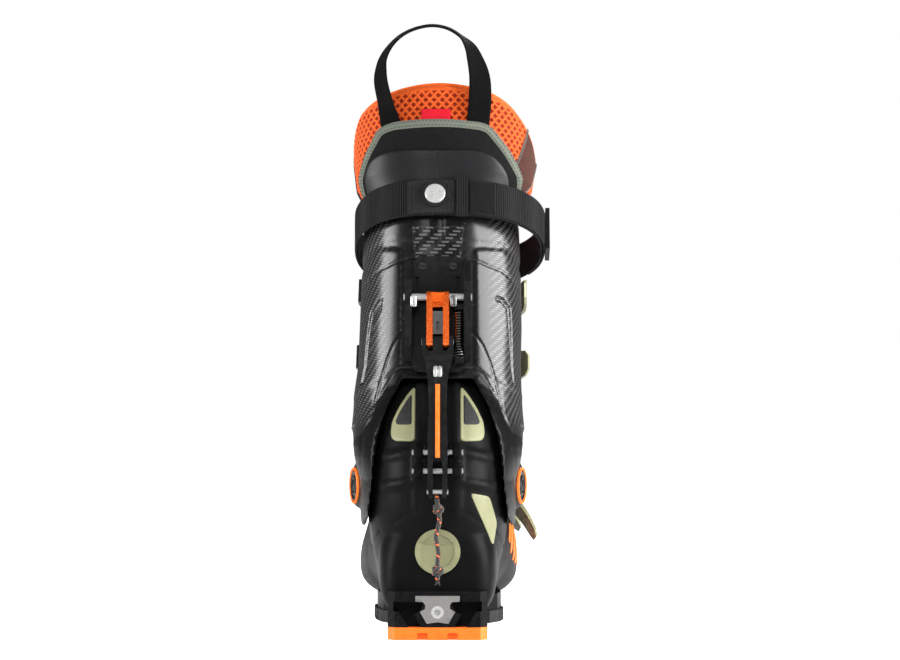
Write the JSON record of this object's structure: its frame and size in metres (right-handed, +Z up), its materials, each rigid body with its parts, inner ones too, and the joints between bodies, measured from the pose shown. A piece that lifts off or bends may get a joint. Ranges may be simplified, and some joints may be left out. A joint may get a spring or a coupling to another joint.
{
  "type": "alpine touring ski boot",
  "caption": "Hard-shell touring ski boot for the right foot, with a pivoting cuff, a rear ski-walk lock, lever buckles and a soft inner boot.",
  "frame": {"origin": "on the ground plane under the middle of the sole's length, on the heel block's centre line", "axes": "+Y towards the toe, +X towards the outer side of the right foot, +Z up; the cuff is shown locked with 12 degrees of forward lean"},
  "size_m": [0.1442, 0.3088, 0.441],
  "materials": {
    "black_rubber": "moulded rubber",
    "carbon_cuff": "glossy carbon fibre",
    "cord": "braided cord",
    "dark_plastic": "satin black plastic",
    "foam_grey": "moulded foam",
    "khaki_aluminium": "khaki anodised",
    "khaki_plastic": "satin",
    "liner_black": "felt and foam",
    "mesh_dark": "woven mesh",
    "orange_aluminium": "orange anodised",
    "orange_mesh": "spacer mesh",
    "orange_rubber": "moulded rubber",
    "shell_black": "matt moulded nylon",
    "steel": "machined steel",
    "webbing": "woven webbing"
  },
  "bodies": {
    "boot_shell": {"lower_shell": "shell_black", "catch_pins": "steel", "heel_window_frames": "khaki_plastic", "heel_window_meshes": "mesh_dark", "heel_block": "shell_black", "heel_binding_plate": "steel", "heel_plate_screw": "steel", "heel_tread": "orange_rubber", "forefoot_tread": "black_rubber", "toe_block": "shell_black", "toe_binding_fitting": "steel", "boot_board": "foam_grey", "liner_foot": "liner_black", "footbed": "foam_grey", "pivot_studs": "steel", "heel_badge": "khaki_plastic", "instep_buckle_base": "dark_plastic", "instep_ladder": "dark_plastic", "forefoot_buckle_base": "dark_plastic", "forefoot_ladder": "dark_plastic", "shell_buckle_pins": "steel"},
    "cuff": {"cuff_shell": "carbon_cuff", "cuff_spoiler": "dark_plastic", "lock_housing": "dark_plastic", "frame_pin": "steel", "housing_screws": "steel", "lock_spring": "steel", "upper_cuff_buckle_base": "dark_plastic", "upper_cuff_ladder": "dark_plastic", "lower_cuff_buckle_base": "dark_plastic", "lower_cuff_ladder": "dark_plastic", "cuff_buckle_pins": "steel", "pivot_rings": "orange_aluminium", "liner_cuff": "orange_mesh", "liner_tongue": "liner_black", "pull_loop": "webbing", "power_strap": "webbing", "strap_patch": "webbing", "strap_keeper": "webbing", "strap_tail": "webbing", "strap_washer": "dark_plastic", "strap_rivet": "steel", "strap_buckle": "dark_plastic"},
    "latch": {"latch_frame": "orange_aluminium", "latch_tongue": "steel"},
    "walk_arm": {"lock_arm": "dark_plastic", "arm_inlay": "orange_aluminium", "knuckle_pin": "steel", "cord_pin": "steel", "pull_cord": "cord"},
    "upper_cuff_buckle_lever": {"upper_cuff_lever": "khaki_aluminium"},
    "upper_cuff_buckle_bail": {"upper_cuff_bail": "steel"},
    "lower_cuff_buckle_lever": {"lower_cuff_lever": "khaki_aluminium"},
    "lower_cuff_buckle_bail": {"lower_cuff_bail": "steel"},
    "instep_buckle_lever": {"instep_lever": "khaki_aluminium"},
    "instep_buckle_bail": {"instep_bail": "steel"},
    "forefoot_buckle_lever": {"forefoot_lever": "khaki_aluminium"},
    "forefoot_buckle_bail": {"forefoot_bail": "steel"}
  },
  "joints": [
    {"name": "cuff_pivot", "type": "hinge", "parent": "boot_shell", "child": "cuff", "pos_m": [0, -0.0525, 0.104], "axis": [-1, 0, 0], "range_deg": [-15, 25]},
    {"name": "latch_pivot", "type": "hinge", "parent": "cuff", "child": "latch", "pos_m": [0, -0.10273, 0.24042], "axis": [-1, 0, 0], "range_deg": [0, 20]},
    {"name": "arm_knuckle", "type": "hinge", "parent": "latch", "child": "walk_arm", "pos_m": [0, -0.11469, 0.20821], "axis": [-1, 0, 0], "range_deg": [0, 105], "deforming": ["pull_cord"]},
    {"name": "upper_cuff_lever_pivot", "type": "hinge", "parent": "cuff", "child": "upper_cuff_buckle_lever", "pos_m": [0.04865, 0.01979, 0.23585], "axis": [0, 0.2079, 0.9781], "range_deg": [0, 150]},
    {"name": "upper_cuff_bail_pivot", "type": "hinge", "parent": "upper_cuff_buckle_lever", "child": "upper_cuff_buckle_bail", "pos_m": [0.05381, 0.01128, 0.23766], "axis": [0, 0.2079, 0.9781], "range_deg": [-175, 0]},
    {"name": "lower_cuff_lever_pivot", "type": "hinge", "parent": "cuff", "child": "lower_cuff_buckle_lever", "pos_m": [0.03992, 0.0179, 0.18718], "axis": [0, 0.2079, 0.9781], "range_deg": [0, 130]},
    {"name": "lower_cuff_bail_pivot", "type": "hinge", "parent": "lower_cuff_buckle_lever", "child": "lower_cuff_buckle_bail", "pos_m": [0.04718, 0.01101, 0.18865], "axis": [0, 0.2079, 0.9781], "range_deg": [-152, 0]},
    {"name": "instep_lever_pivot", "type": "hinge", "parent": "boot_shell", "child": "instep_buckle_lever", "pos_m": [0.04134, 0.05605, 0.09531], "axis": [0.1572, -0.9309, 0.3298], "range_deg": [0, 100]},
    {"name": "instep_bail_pivot", "type": "hinge", "parent": "instep_buckle_lever", "child": "instep_buckle_bail", "pos_m": [0.04904, 0.05505, 0.08883], "axis": [0.1572, -0.9309, 0.3298], "range_deg": [-117, 0]},
    {"name": "forefoot_lever_pivot", "type": "hinge", "parent": "boot_shell", "child": "forefoot_buckle_lever", "pos_m": [0.03, 0.08823, 0.08638], "axis": [0.1358, -0.9229, 0.3604], "range_deg": [0, 150]},
    {"name": "forefoot_bail_pivot", "type": "hinge", "parent": "forefoot_buckle_lever", "child": "forefoot_buckle_bail", "pos_m": [0.03881, 0.08761, 0.08145], "axis": [0.1358, -0.9229, 0.3604], "range_deg": [-175, 0]}
  ],
  "couplings": [
    {"joint": "upper_cuff_bail_pivot", "follows": "upper_cuff_lever_pivot", "ratio": -1.15},
    {"joint": "lower_cuff_bail_pivot", "follows": "lower_cuff_lever_pivot", "ratio": -1.15},
    {"joint": "instep_bail_pivot", "follows": "instep_lever_pivot", "ratio": -1.15},
    {"joint": "forefoot_bail_pivot", "follows": "forefoot_lever_pivot", "ratio": -1.15}
  ]
}
